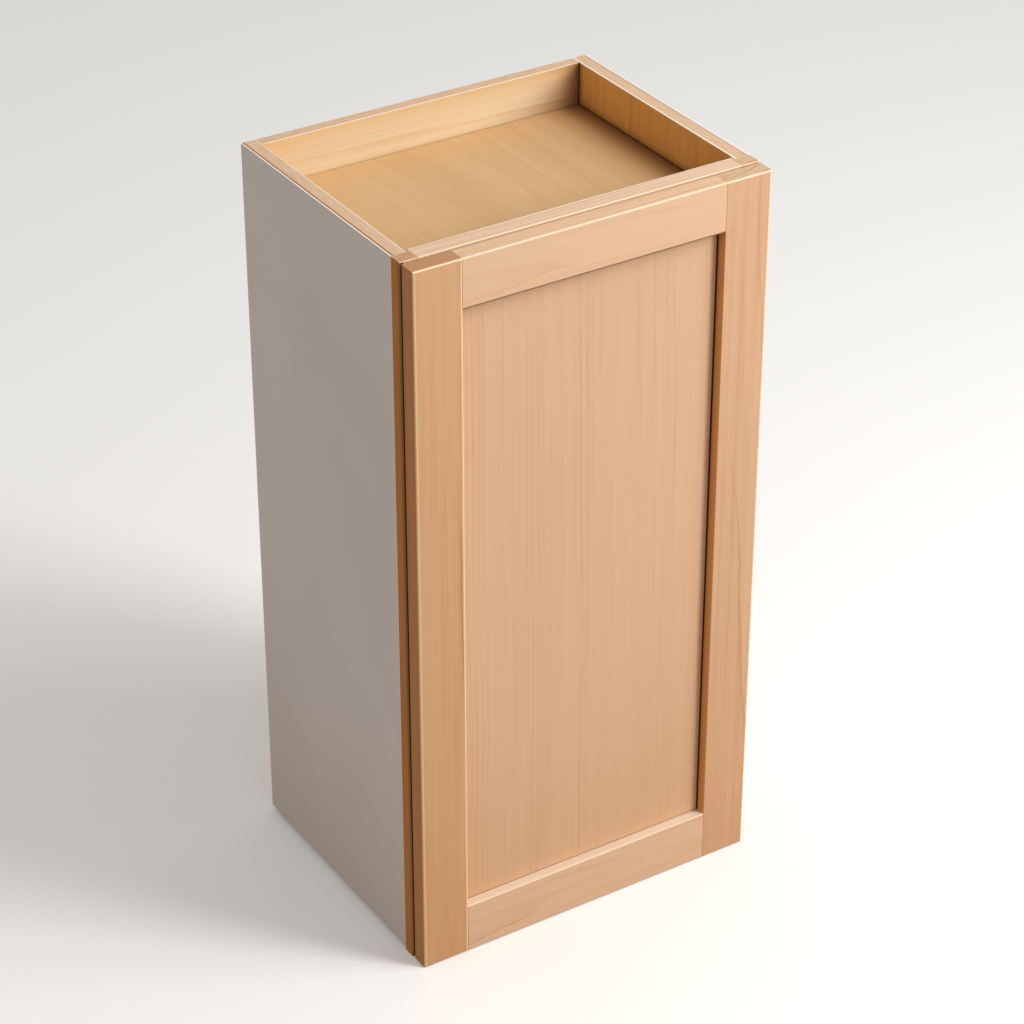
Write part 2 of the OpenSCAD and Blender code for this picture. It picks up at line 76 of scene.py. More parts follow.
def seen_directly(tree):
    """One where the camera sees a thing, also in metal or through clear plastic."""
    rays = add_node(tree, "LightPath")
    seen = rays.outputs["Is Camera Ray"]
    for other in ("Is Glossy Ray", "Is Transmission Ray"):
        inputs = {0: seen, 1: rays.outputs[other]}
        seen = add_node(tree, "Math", inputs, operation="MAXIMUM").outputs[0]
    return seen


def aim(thing, spot):
    """Turns a lamp or the camera so that it looks at a spot."""
    line = [s - p for s, p in zip(spot, thing.location)]
    flat = math.hypot(line[0], line[1])
    thing.rotation_euler = (math.atan2(flat, -line[2]), 0.0, math.atan2(-line[0], line[1]))


def hang_lamp(name, place, size, power, spot):
    """A square soft lamp, aimed at a spot."""
    bpy.ops.object.light_add(type="AREA", location=place)
    lamp = bpy.context.object
    lamp.name = name
    lamp.data.shape = "SQUARE"
    lamp.data.size = size
    lamp.data.energy = power
    aim(lamp, spot)


bpy.ops.object.select_all(action="DESELECT")
bpy.ops.mesh.primitive_plane_add(size=FLOOR_SIZE, location=(0, 0, 0))
floor = bpy.context.object
floor.name = "studio_floor"
floor_paint, tree, shader = start_finish("studio_floor")
seen = seen_directly(tree)
for socket, bounced in (("Base Color", FLOOR_BOUNCE), ("Emission Color", "#000000")):
    tint = mix_paint(tree, seen, paint(bounced), paint(FLOOR_COLOUR))
    tree.links.new(tint, shader.inputs[socket])
shader.inputs["Emission Strength"].default_value = FLOOR_GLOW
shader.inputs["Roughness"].default_value = 0.9
shader.inputs["Specular IOR Level"].default_value = 0.2
floor.data.materials.append(floor_paint)

hang_lamp("front_lamp", place=(1.8, -2.4, 1.75), size=1.0, power=60, spot=(0.0, -0.1, 0.4))
hang_lamp("overhead_lamp", place=(1.5, -1.4, 2.8), size=1.2, power=34, spot=(0.0, 0.0, 0.6))

sky = bpy.data.worlds.new("pale_sky")
sky.use_nodes = True
tree = sky.node_tree
tree.nodes.clear()
inputs = {"Color": paint(SKY_COLOUR), "Strength": SKY_LIGHT}
fill = add_node(tree, "Background", inputs).outputs[0]
inputs = {"Color": paint(FLOOR_COLOUR), "Strength": BACKDROP_LIGHT}
backdrop = add_node(tree, "Background", inputs).outputs[0]
inputs = {0: seen_directly(tree), 1: fill, 2: backdrop}
either = add_node(tree, "MixShader", inputs)
add_node(tree, "OutputWorld", {"Surface": either.outputs[0]})
bpy.context.scene.world = sky

bpy.ops.object.camera_add(location=CAMERA_AT)
camera = bpy.context.object
camera.name = "studio_camera"
camera.data.sensor_width = SENSOR_WIDTH
camera.data.lens = CAMERA_LENS
camera.data.clip_end = SEEN_AS_FAR_AS
aim(camera, LOOK_AT)
bpy.context.scene.camera = camera
bpy.context.scene.view_settings.view_transform = "Standard"

# ---------------------------------------------------------------- Side panels
# Two maple plywood panels stand at the sides, their grain upright. The yellowish face
# veneer shows inside the tray and the cupboard, its deeper golden tone partly painted
# warm shade, and the layers show on the sawn edges, with the line of contact glue that
# holds the laminate along the outer side. Painted highlights run along their top inner
# edges, and painted shade darkens them where they meet the tray floor, the rail and the
# face frame.
PLY_PALE = "#E9BC80"
PLY_RING = "#CF9656"
PLY_EDGE_PALE = "#E8C6A4"
PLY_EDGE_DARK = "#D6AE88"
# Cream for a painted highlight on rounded edges and along top edges.
PLY_ARRIS_HIGHLIGHT = "#FFF3E2"
SIDE_VENEER_AND_SHADE = "#E3A759"
SIDE_GLUE = "#B0621A"
SHEET_WHITE = "#FFFFFF"
# The dark of painted shade and of thin joint lines.
JOINT_SHADE_BROWN = "#2B1506"
GLUE_LINE = 0.0026
SHEET_LINE = 0.0003
LAYER = 0.0015
BARE_WOOD_GLOSS = 0.2
BARE_WOOD_RELIEF = 0.00012

# Marks of the maple to the metre, across the board, through it and along its grain.
SLOW_BENDS = (5.0, 5.0, 1.9)
QUICK_BENDS = (40.0, 40.0, 14.0)
PATCHES = (26.0, 26.0, 5.0)
FIBRES = (420.0, 420.0, 4.0)
STREAKS = (130.0, 130.0, 2.2)
CLOUDS = (9.0, 9.0, 2.4)
PORES = (90.0, 800.0, 60.0)
EDGE_FIBRES, EDGE_PLIES = 90.0, 900.0
UNEVEN_YEARS = 110.0
NOISE_SPAN = (0.3, 0.7)

# The taper of the tree, and the parts of a year in which its late wood and the line at
# its end come in. Both stop at the year's end.
TAPER = 0.012
LATE_WOOD = (0.35, 0.93)
YEAR_LINE = (0.84, 0.93)
YEAR_END = 0.94
SIDE_RING_TINT = "#D3C0A8"

# How squarely a surface looks along an axis, from where a finish starts to where it is
# full.
TURNED_TOWARD = (0.2, 0.5)
PLY_FACE = (0.3, 0.7)
NEARLY_SQUARE = (0.75, 0.98)
QUITE_SQUARE = (0.8, 0.97)
FLAT_FACE = (0.88, 0.985)


def group_with(name, inputs, outputs):
    """An empty node group with its sockets, its input node and its output node."""
    group = bpy.data.node_groups.new(name, "ShaderNodeTree")
    add_socket = group.interface.new_socket
    for label, (kind, value) in inputs.items():
        socket = add_socket(label, in_out="INPUT", socket_type="NodeSocket" + kind)
        if value is not None:
            socket.default_value = value
    for label, kind in outputs.items():
        add_socket(label, in_out="OUTPUT", socket_type="NodeSocket" + kind)
    return group, group.nodes.new("NodeGroupInput"), group.nodes.new("NodeGroupOutput")


def reckon(tree, operation, first, second=0.0, third=0.0):
    """The result of one math node."""
    inputs = {0: first, 1: second, 2: third}
    return add_node(tree, "Math", inputs, operation=operation).outputs[0]


def ramp(tree, value, low, high, to_low=0.0, to_high=1.0):
    """A smooth step of a value from one range to another."""
    inputs = {
        "Value": value, "From Min": low, "From Max": high, "To Min": to_low, "To Max": to_high
    }
    return add_node(tree, "MapRange", inputs, interpolation_type="SMOOTHSTEP").outputs["Result"]


def noise(tree, vector, marks, detail=2.0, rough=0.5, coloured=False):
    """Noise with so many marks to the metre along X, Y and Z."""
    place = add_node(tree, "VectorMath", {0: vector, 1: marks}, operation="MULTIPLY").outputs[0]
    inputs = {"Vector": place, "Scale": 1.0, "Detail": detail, "Roughness": rough}
    return add_node(tree, "TexNoise", inputs).outputs["Color" if coloured else 0]


def sway(tree, vector, bends, reach):
    """A random shift of up to half its reach each way, with so many bends to the metre."""
    shift = noise(tree, vector, bends, coloured=True)
    inputs = {0: shift, 1: (0.5, 0.5, 0.5)}
    shift = add_node(tree, "VectorMath", inputs, operation="SUBTRACT").outputs[0]
    inputs = {0: shift, "Scale": reach}
    return add_node(tree, "VectorMath", inputs, operation="SCALE").outputs[0]


def bearings(tree, normal):
    """How squarely a surface faces along X, Y and Z, either way."""
    sizes = add_node(tree, "VectorMath", {0: normal}, operation="ABSOLUTE").outputs[0]
    return add_node(tree, "SeparateXYZ", {0: sizes}).outputs


def on_rounding(tree, bearing):
    """One on a board's rounded edges, and nought on its flat faces."""
    squarest = reckon(tree, "MAXIMUM", bearing[0], bearing[1])
    squarest = reckon(tree, "MAXIMUM", squarest, bearing[2])
    return ramp(tree, squarest, *FLAT_FACE, 1.0, 0.0)


# The figure of sawn or sliced maple, in grain coordinates: Z runs along the grain, Y
# through the board's thickness, and the heart of the tree is the line at X = Y = 0.
maple_figure, entry, leave = group_with(
    "maple_figure",
    {
        "Vector": ("Vector", None),
        "Normal": ("Vector", None),
        "Pale": ("Color", paint("#E6C39B")),
        "Ring": ("Color", paint("#C99763")),
        "End": ("Color", paint("#D9AE80")),
        "Side": ("Color", paint("#E6C39B")),
        "Arris": ("Color", paint("#EBCBA6")),
        "End Arris": ("Color", paint("#F0D6B8")),
        "Ring Pitch": ("Float", 0.005),
        "Ring Wander": ("Float", 0.03),
        "Ring Ripple": ("Float", 0.0012),
        "Ring Depth": ("Float", 0.25),
        "Line Depth": ("Float", 0.35),
        "Streak Depth": ("Float", 0.40),
        "Cloud Depth": ("Float", 0.30),
    },
    {"Color": "Color", "Roughness": "Float", "Height": "Float"},
)
tree, given = maple_figure, entry.outputs
vector = given["Vector"]

# The distance from the heart, bent slowly and quickly. It counts for a little more up the
# tree, where the rings are narrower.
bent = vector
for bends, reach in ((SLOW_BENDS, "Ring Wander"), (QUICK_BENDS, "Ring Ripple")):
    shift = sway(tree, vector, bends, given[reach])
    bent = add_node(tree, "VectorMath", {0: bent, 1: shift}, operation="ADD").outputs[0]
parts = add_node(tree, "SeparateXYZ", {0: bent}).outputs
flat = add_node(tree, "CombineXYZ", {0: parts[0], 1: parts[1]}).outputs[0]
radius = add_node(tree, "VectorMath", {0: flat}, operation="LENGTH").outputs["Value"]
radius = reckon(tree, "MULTIPLY_ADD", parts[2], TAPER, radius)

# Years of uneven width, each with soft late wood and a thin line at its end, fainter in
# some years and in patches.
inputs = {"W": radius, "Scale": UNEVEN_YEARS, "Detail": 1.0}
uneven = add_node(tree, "TexNoise", inputs, noise_dimensions="1D").outputs[0]
years = reckon(tree, "DIVIDE", radius, given["Ring Pitch"])
years = reckon(tree, "MULTIPLY_ADD", uneven, 1.3, years)
in_year = reckon(tree, "FRACT", years)
until_end = ramp(tree, in_year, YEAR_END, 1.0, 1.0, 0.0)
late = reckon(tree, "MULTIPLY", ramp(tree, in_year, *LATE_WOOD), until_end)
line = reckon(tree, "MULTIPLY", ramp(tree, in_year, *YEAR_LINE), until_end)
inputs = {"W": reckon(tree, "FLOOR", years)}
year_mark = add_node(tree, "TexWhiteNoise", inputs, noise_dimensions="1D").outputs["Value"]
patch = noise(tree, vector, PATCHES, detail=1.0)
late = reckon(tree, "MULTIPLY", late, ramp(tree, year_mark, 0.0, 1.0, 0.15, 1.0))
late = reckon(tree, "MULTIPLY", late, ramp(tree, patch, 0.3, 0.65, 0.35, 1.0))
line = reckon(tree, "MULTIPLY", line, ramp(tree, year_mark, 0.35, 0.9, 0.1, 1.0))
line = reckon(tree, "MULTIPLY", line, ramp(tree, patch, 0.42, 0.62, 0.1, 1.0))

# The tone of the faces: rings, lines, the streaks of the fibres and broad clouds.
fine = noise(tree, vector, FIBRES, rough=0.6)
broad = noise(tree, vector, STREAKS, rough=0.6)
streak = reckon(tree, "MULTIPLY_ADD", broad, 0.8, reckon(tree, "SUBTRACT", fine, 0.9))
cloud = reckon(tree, "SUBTRACT", noise(tree, vector, CLOUDS, detail=3.0), 0.5)
tone = 0.25
for mark, depth in ((late, "Ring"), (line, "Line"), (streak, "Streak"), (cloud, "Cloud")):
    tone = reckon(tree, "MULTIPLY_ADD", mark, given[depth + " Depth"], tone)
tone = ramp(tree, tone, -0.1, 1.1)
face = mix_paint(tree, tone, given["Pale"], given["Ring"])

# The sawn sides, the ends with their pores, and the rounded edges, where the pale Arris
# colours are a painted highlight.
bearing = bearings(tree, given["Normal"])
pores = noise(tree, vector, PORES, detail=1.0)
ends = reckon(tree, "MULTIPLY_ADD", pores, 0.7, reckon(tree, "MULTIPLY", late, 0.3))
end_grain = mix_paint(tree, ramp(tree, ends, 0.0, 0.9), given["End"], given["Ring"])
side_ring = mix_paint(tree, 1.0, given["Side"], paint(SIDE_RING_TINT), "MULTIPLY")
side_grain = mix_paint(tree, tone, given["Side"], side_ring)
wood = mix_paint(tree, ramp(tree, bearing[0], *NEARLY_SQUARE), face, side_grain)
wood = mix_paint(tree, ramp(tree, bearing[2], *NEARLY_SQUARE), wood, end_grain)
toward_end = ramp(tree, bearing[2], *TURNED_TOWARD)
arris = mix_paint(tree, toward_end, given["Arris"], given["End Arris"])
wood = mix_paint(tree, on_rounding(tree, bearing), wood, arris)
tree.links.new(wood, leave.inputs["Color"])
shine = reckon(tree, "MULTIPLY_ADD", fine, 0.12, 0.52)
shine = reckon(tree, "MULTIPLY_ADD", late, -0.05, shine)
tree.links.new(shine, leave.inputs["Roughness"])
relief = reckon(tree, "MULTIPLY_ADD", late, -0.4, fine)
tree.links.new(relief, leave.inputs["Height"])

# The mask of a painted line, and of the painted soft shade beside it, where one piece
# meets another or along an edge.
crease_shade, entry, leave = group_with(
    "crease_shade",
    {
        "Distance": ("Float", 1.0),
        "Line Width": ("Float", 0.001),
        "Line Depth": ("Float", 0.5),
        "Shade Width": ("Float", 0.01),
        "Shade Depth": ("Float", 0.2),
    },
    {"Mask": "Float"},
)
tree, given = crease_shade, entry.outputs
line = reckon(tree, "DIVIDE", given["Distance"], given["Line Width"])
line = ramp(tree, line, 0.6, 1.2, 1.0, 0.0)
line = reckon(tree, "MULTIPLY", line, given["Line Depth"])
shade = reckon(tree, "DIVIDE", given["Distance"], given["Shade Width"])
shade = ramp(tree, shade, 0.0, 1.0, 1.0, 0.0)
shade = reckon(tree, "MULTIPLY", shade, shade)
shade = reckon(tree, "MULTIPLY", shade, given["Shade Depth"])
tree.links.new(reckon(tree, "MAXIMUM", line, shade), leave.inputs["Mask"])


def board_coordinates(tree, heart, grain):
    """Grain coordinates and normal of a board, whose grain runs along X, Y or Z."""
    turn = {"Z": (0, 0, 0), "X": (0, -math.pi / 2, 0), "Y": (math.pi / 2, 0, 0)}[grain]
    where = add_node(tree, "TexCoord").outputs
    inputs = {"Vector": where["Object"], "Rotation": turn}
    place = add_node(tree, "Mapping", inputs, vector_type="POINT").outputs[0]
    place = add_node(tree, "VectorMath", {0: place, 1: heart}, operation="SUBTRACT").outputs[0]
    inputs = {"Vector": where["Normal"], "Rotation": turn}
    return place, add_node(tree, "Mapping", inputs, vector_type="POINT").outputs[0]


def maple_board(name, heart, grain="Z", **figure):
    """A finish of maple, with the heart's place in grain coordinates and its own figure."""
    finish, tree, shader = start_finish(name)
    place, facing = board_coordinates(tree, heart, grain)
    cut = add_node(tree, "Group", node_tree=maple_figure)
    tree.links.new(place, cut.inputs["Vector"])
    tree.links.new(facing, cut.inputs["Normal"])
    for socket, value in figure.items():
        value = paint(value) if isinstance(value, str) else value
        cut.inputs[socket.replace("_", " ").title()].default_value = value
    tree.links.new(cut.outputs["Color"], shader.inputs["Base Color"])
    tree.links.new(cut.outputs["Roughness"], shader.inputs["Roughness"])
    shader.inputs["Specular IOR Level"].default_value = BARE_WOOD_GLOSS
    inputs = {"Strength": 0.35, "Distance": BARE_WOOD_RELIEF, "Height": cut.outputs["Height"]}
    tree.links.new(add_node(tree, "Bump", inputs).outputs[0], shader.inputs["Normal"])
    return finish


def take_up(finish):
    """A finish's tree, shader and coordinates, to paint more on it."""
    tree = finish.node_tree
    where = next(n for n in tree.nodes if n.bl_idname == "ShaderNodeTexCoord")
    return tree, tree.nodes["Principled BSDF"], where.outputs


def meeting(axis, place, line=(0.001, 0.0), shade=(0.01, 0.0)):
    """Where pieces meet, or along an edge: the axis across it and its place, the width and
    depth of the painted line there, and those of the painted shade beside it."""
    return axis, place, (*line, *shade)


def crease(finish, faces, *meetings, colour=JOINT_SHADE_BROWN, squarely=False):
    """Paints a colour by meetings on a finish, on the faces that look along an axis, or one
    way along it, as in -X; mostly painted shade with a dark joint line, or a painted
    highlight. Squarely keeps their rounded edges clear."""
    tree, shader, where = take_up(finish)
    place = add_node(tree, "SeparateXYZ", {0: where["Object"]}).outputs
    facing = add_node(tree, "SeparateXYZ", {0: where["Normal"]}).outputs
    facing = facing["XYZ".index(faces[-1])]
    if faces[0] == "-":
        facing = reckon(tree, "MULTIPLY", facing, -1.0)
    elif faces[0] != "+":
        facing = reckon(tree, "ABSOLUTE", facing)
    share = 0.0
    for axis, spot, measures in meetings:
        away = reckon(tree, "SUBTRACT", place["XYZ".index(axis)], spot)
        mark = add_node(tree, "Group", node_tree=crease_shade)
        tree.links.new(reckon(tree, "ABSOLUTE", away), mark.inputs["Distance"])
        for socket, value in enumerate(measures, start=1):
            mark.inputs[socket].default_value = value
        share = reckon(tree, "MAXIMUM", share, mark.outputs["Mask"])
    facing = ramp(tree, facing, *(QUITE_SQUARE if squarely else TURNED_TOWARD))
    share = reckon(tree, "MULTIPLY", share, facing)
    wood = shader.inputs["Base Color"].links[0].from_socket
    tree.links.new(mix_paint(tree, share, wood, paint(colour)), shader.inputs["Base Color"])


def plywood(name, heart, grain, through, glued=None, glue_depth=0.0, **figure):
    """Maple plywood: veneer on its faces, and layers on its edges, counted along the
    through axis. Where it is glued, the glue's line shows at that distance out."""
    finish = maple_board(name, heart, grain, **figure)
    tree, shader, where = take_up(finish)
    axis = "XYZ".index(through)
    place = add_node(tree, "SeparateXYZ", {0: where["Object"]}).outputs[axis]
    bearing = bearings(tree, where["Normal"])
    on_edge = ramp(tree, bearing[axis], *PLY_FACE, 1.0, 0.0)
    layers = reckon(tree, "PINGPONG", reckon(tree, "DIVIDE", place, LAYER), 1.0)
    layers = ramp(tree, layers, 0.35, 0.65)
    fibres = [EDGE_PLIES if along == through else EDGE_FIBRES for along in "XYZ"]
    speckle = ramp(tree, noise(tree, where["Object"], fibres, rough=0.6), *NOISE_SPAN)
    shade = reckon(tree, "MULTIPLY_ADD", layers, 0.10, reckon(tree, "MULTIPLY", speckle, 0.75))
    edge = mix_paint(tree, shade, paint(PLY_EDGE_PALE), paint(PLY_EDGE_DARK))
    if glued:
        outer = reckon(tree, "ABSOLUTE", place)
        line = ramp(tree, outer, glued - GLUE_LINE, glued - 0.7 * GLUE_LINE, 0.0, glue_depth)
        edge = mix_paint(tree, line, edge, paint(SIDE_GLUE))
        line = ramp(tree, outer, glued - 1.1 * SHEET_LINE, glued - 0.8 * SHEET_LINE)
        edge = mix_paint(tree, line, edge, paint(SHEET_WHITE))
    face = shader.inputs["Base Color"].links[0].from_socket
    sheet = mix_paint(tree, on_edge, face, edge)
    # Its rounded edges are painted pale as a highlight.
    sheet = mix_paint(tree, on_rounding(tree, bearing), sheet, paint(PLY_ARRIS_HIGHLIGHT))
    tree.links.new(sheet, shader.inputs["Base Color"])
    return finish


def cover(finish, *nodes):
    """Gives CAD nodes their finish."""
    for name in nodes:
        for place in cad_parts[name].material_slots:
            place.material = finish


tray_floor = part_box("top_panel")[1].z
tray_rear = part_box("top_hanging_rail")[0].y
for side in (
    {"name": "left_side", "heart": (-0.12, 0.3, 0.0), "highlight": 0.45, "glue": 0.9},
    {"name": "right_side", "heart": (0.13, -0.30, 0.4), "highlight": 0.95, "glue": 0.3},
):
    low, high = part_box(side["name"])
    inner = high.x if high.x < 0 else low.x
    finish = plywood(
        side["name"] + "_plywood", side["heart"], "Z", "X", glued=max(-low.x, high.x),
        glue_depth=side["glue"], pale=PLY_PALE, ring=PLY_RING, side=SIDE_VENEER_AND_SHADE,
        ring_pitch=0.012,
    )
    # A painted highlight along the top of the inner edge, stronger on the right side.
    highlit_edge = meeting("X", inner, line=(0.0020, side["highlight"]))
    crease(finish, "+Z", highlit_edge, colour=PLY_ARRIS_HIGHLIGHT)
    # Painted shade, with a thin dark joint line, where the side meets the tray floor, the rail
    # and the face frame.
    crease(
        finish,
        "X",
        meeting("Z", tray_floor, line=(0.0012, 0.75), shade=(0.012, 0.35)),
        meeting("Y", tray_rear, line=(0.0012, 0.80), shade=(0.010, 0.40)),
        meeting("Y", low.y, line=(0.0008, 0.40), shade=(0.008, 0.20)),
    )
    cover(finish, side["name"])

# ---------------------------------------------------------------- Laminate
# A thin sheet of plain white laminate is glued to the outside of each side panel and
# trimmed flush. It has a very fine satin stipple, and its trimmed top edge is whiter. A
# painted highlight runs down its front edge, and painted warm shade darkens it towards
# the foot.
LAMINATE_WHITE = "#F4EBE4"
LAMINATE_CLOUD = "#F0E7DF"
LAMINATE_FOOT_SHADE = "#C9A98C"
STIPPLE = (900.0, 900.0, 900.0)
WIDE_CLOUDS = (7.0, 7.0, 7.0)
laminate, tree, shader = start_finish("white_laminate")
place = add_node(tree, "TexCoord").outputs["Object"]
stipple = noise(tree, place, STIPPLE)
cloud = ramp(tree, noise(tree, place, WIDE_CLOUDS), *NOISE_SPAN)
tint = mix_paint(tree, cloud, paint(LAMINATE_WHITE), paint(LAMINATE_CLOUD))
tree.links.new(tint, shader.inputs["Base Color"])
tree.links.new(ramp(tree, stipple, *NOISE_SPAN, 0.38, 0.46), shader.inputs["Roughness"])
relief = add_node(tree, "Bump", {"Strength": 0.15, "Distance": 0.00004, "Height": stipple})
tree.links.new(relief.outputs[0], shader.inputs["Normal"])
shader.inputs["Specular IOR Level"].default_value = 0.3
low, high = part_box("left_skin")
# A painted highlight along the front edge of the outer face.
front_highlight = meeting("Y", low.y, line=(0.0012, 0.8), shade=(0.002, 0.2))
crease(laminate, "X", front_highlight, colour=SHEET_WHITE)
top_edge = meeting("Z", high.z, line=(0.0020, 1.0), shade=(0.002, 1.0))
crease(laminate, "Z", top_edge, colour=SHEET_WHITE)
# Painted warm shade, darker towards the foot.
crease(laminate, "X", meeting("Z", low.z, shade=(0.400, 0.32)), colour=LAMINATE_FOOT_SHADE)
cover(laminate, "left_skin", "right_skin")

# ---------------------------------------------------------------- Top, bottom and back
# The recessed top and the bottom are housed in grooves in the sides, with the thin back
# panel behind them. All are maple plywood; the top is the floor of the tray.
WARM_SHADE = "#BE7A2C"
DEEP_SHADE = "#5E2F06"
inner_left, inner_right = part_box("left_side")[1].x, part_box("right_side")[0].x
finish = plywood(
    "top_plywood", (0.03, -0.85, 0.0), "Y", "Z", pale="#E2BB89", ring="#CB9A65",
    ring_pitch=0.016, ring_wander=0.06, ring_depth=0.25, line_depth=0.05, streak_depth=0.25,
    cloud_depth=0.6,
)
crease(finish, "+Z", meeting("X", inner_right, shade=(0.090, 0.55)), colour=WARM_SHADE)
crease(finish, "+Z", meeting("X", inner_right, shade=(0.040, 0.75)), colour=DEEP_SHADE)
# Painted shade, with a thin dark joint line, where the tray floor meets the rail and the sides.
crease(
    finish,
    "+Z",
    meeting("Y", tray_rear, line=(0.0009, 0.32), shade=(0.006, 0.12)),
    meeting("X", inner_right, line=(0.0014, 0.70), shade=(0.008, 0.30)),
    meeting("X", inner_left, line=(0.0009, 0.40), shade=(0.008, 0.15)),
)
cover(finish, "top_panel")
finish = plywood(
    "bottom_plywood", (-0.08, 0.4, 0.0), "X", "Z", pale=PLY_PALE, ring=PLY_RING
)
cover(finish, "bottom_panel")
finish = plywood(
    "back_plywood", (0.03, 0.5, 0.0), "Z", "Y", pale=PLY_PALE, ring=PLY_RING, ring_pitch=0.01
)
cover(finish, "back_panel")

# ---------------------------------------------------------------- Hanging rails
# Two plywood rails behind the back panel take the screws that hang the cabinet on the
# wall. The upper one is the rear wall of the tray, with its grain lengthwise.
GOLDEN_BAND = "#D8A862"
rail_top, rail_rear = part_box("top_hanging_rail")[1].z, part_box("top_hanging_rail")[1].y
finish = plywood(
    "top_rail_plywood", (-0.66, 0.20, 0.0), "X", "Y", pale="#E3CEAC", ring="#CDA570",
    ring_pitch=0.009, ring_wander=0.02, ring_depth=0.4, line_depth=0.3, streak_depth=0.5,
)
crease(finish, "-Y", meeting("Z", rail_top, shade=(0.032, 0.45)), colour=GOLDEN_BAND)
crease(finish, "-Y", meeting("X", inner_right, shade=(0.080, 0.50)), colour=WARM_SHADE)
crease(finish, "-Y", meeting("X", inner_right, shade=(0.035, 0.62)), colour=DEEP_SHADE)
# A painted highlight along the top front edge.
crease(finish, "+Z", meeting("Y", tray_rear, line=(0.0016, 0.40)), colour=PLY_ARRIS_HIGHLIGHT)
# The rail's pale tone is partly painted light on its front face; the rear face is painted back
# to a warmer tone.
crease(finish, "+Y", meeting("Y", rail_rear, shade=(0.01, 0.5)), colour=PLY_RING)
# Painted shade, with a thin dark joint line, where the rail meets the tray floor and the sides.
crease(
    finish,
    "-Y",
    meeting("Z", tray_floor, line=(0.0006, 0.25), shade=(0.005, 0.12)),
    meeting("X", inner_right, line=(0.0014, 0.80), shade=(0.008, 0.30)),
    meeting("X", inner_left, line=(0.0008, 0.30), shade=(0.006, 0.15)),
)
cover(finish, "top_hanging_rail")
finish = plywood(
    "bottom_rail_plywood", (0.0, 0.5, 0.0), "X", "Y", pale=PLY_PALE, ring=PLY_RING
)
cover(finish, "bottom_hanging_rail")

# ---------------------------------------------------------------- Face frame
# Two stiles and two rails of solid maple, joined by pairs of dowels, sanded flush and
# glued over the front edges of the carcase. Their sawn sides are painted a deeper warm
# brown as shade, darker towards the door, and painted shadow fills the narrow gap behind
# the door on the free side. The stiles' long rounded edges are painted a darker tone for
# the shade there, and painted highlights run along the rails' top rear edges.
FRAME_SIDE_SHADE = "#D68A3E"
GAP_SHADE = 0.0025
frame_front, frame_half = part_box("frame_right_stile")[0].y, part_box("frame_right_stile")[1].x
for stile in (
    {
        "name": "left", "outward": "-X", "gap": GAP_SHADE - frame_half, "gap_depth": 0.9,
        "heart": (-0.15, -0.02, 0.3), "end": "#D2A67C",
    },
    {
        "name": "right", "outward": "+X", "gap": frame_half - GAP_SHADE, "gap_depth": 0.1,
        "heart": (0.23, -0.03, 0.1), "end": "#E6C49E",
    },
):
    finish = maple_board(
        "frame_" + stile["name"] + "_maple", stile["heart"], pale="#E0B58B", ring="#BE8A5A",
        end=stile["end"], side=FRAME_SIDE_SHADE, arris="#B98C62", end_arris="#E6C8A6",
        streak_depth=0.7,
    )
    # Painted shade on the sawn side, darker towards the gap behind the door.
    front_corner_shade = meeting("Y", frame_front, line=(0.0005, 0.40), shade=(0.0055, 0.4))
    crease(finish, stile["outward"], front_corner_shade)
    # Painted shadow in the gap behind the door, deep on the free side.
    depth = stile["gap_depth"]
    gap = meeting("X", stile["gap"], line=(0.0017, depth), shade=(0.003, 0.5 * depth))
    crease(finish, "-Y", gap, squarely=True)
    cover(finish, "frame_" + stile["name"] + "_stile")
frame_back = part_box("frame_top_rail")[1].y
for rail, heart in (("top", (-0.72, -0.20, 0.0)), ("bottom", (-0.05, -0.19, 0.2))):
    finish = maple_board(
        "frame_" + rail + "_maple", heart, "X", pale="#E2BE9C", ring="#C89C78",
        end="#E8C8A4", side="#F3D2B3", arris="#F4DABC", streak_depth=0.6,
    )
    # A painted highlight along the top rear edge.
    crease(finish, "+Z", meeting("Y", frame_back, line=(0.0018, 0.85)), colour=PLY_ARRIS_HIGHLIGHT)
    cover(finish, "frame_" + rail + "_rail")
finish = maple_board(
    "dowel_maple", (0.3, 0.1, 0.0), "X", pale="#E8C9A0", ring="#CFA070", end="#CFA070"
)
cover(finish, "frame_dowels")

# ---------------------------------------------------------------- Shelves
# Two loose plywood shelves, banded with maple along the front, lie on four nickelled
# supports each, which push into the rows of holes in the sides.
NICKEL_BRIGHT = "#C9C8C4"
NICKEL_RUBBED = "#B4B2AD"
RUB_MARKS = (260.0, 260.0, 260.0)
finish = plywood(
    "shelf_plywood", (0.1, 0.6, 0.0), "X", "Z", pale=PLY_PALE, ring=PLY_RING
)
cover(finish, "lower_shelf", "upper_shelf")
finish = maple_board(
    "band_maple", (0.3, 0.2, 0.0), "X", pale="#E9C79C", ring="#CF9F6C"
)
cover(finish, "lower_shelf_edging", "upper_shelf_edging")
nickel, tree, shader = start_finish("bright_nickel")
rub = noise(tree, add_node(tree, "TexCoord").outputs["Object"], RUB_MARKS, detail=3.0)
rubbed = ramp(tree, rub, 0.35, 0.7)
tint = mix_paint(tree, rubbed, paint(NICKEL_BRIGHT), paint(NICKEL_RUBBED))
tree.links.new(tint, shader.inputs["Base Color"])
tree.links.new(ramp(tree, rub, *NOISE_SPAN, 0.18, 0.34), shader.inputs["Roughness"])
shader.inputs["Metallic"].default_value = 1.0
cover(nickel, "shelf_supports")
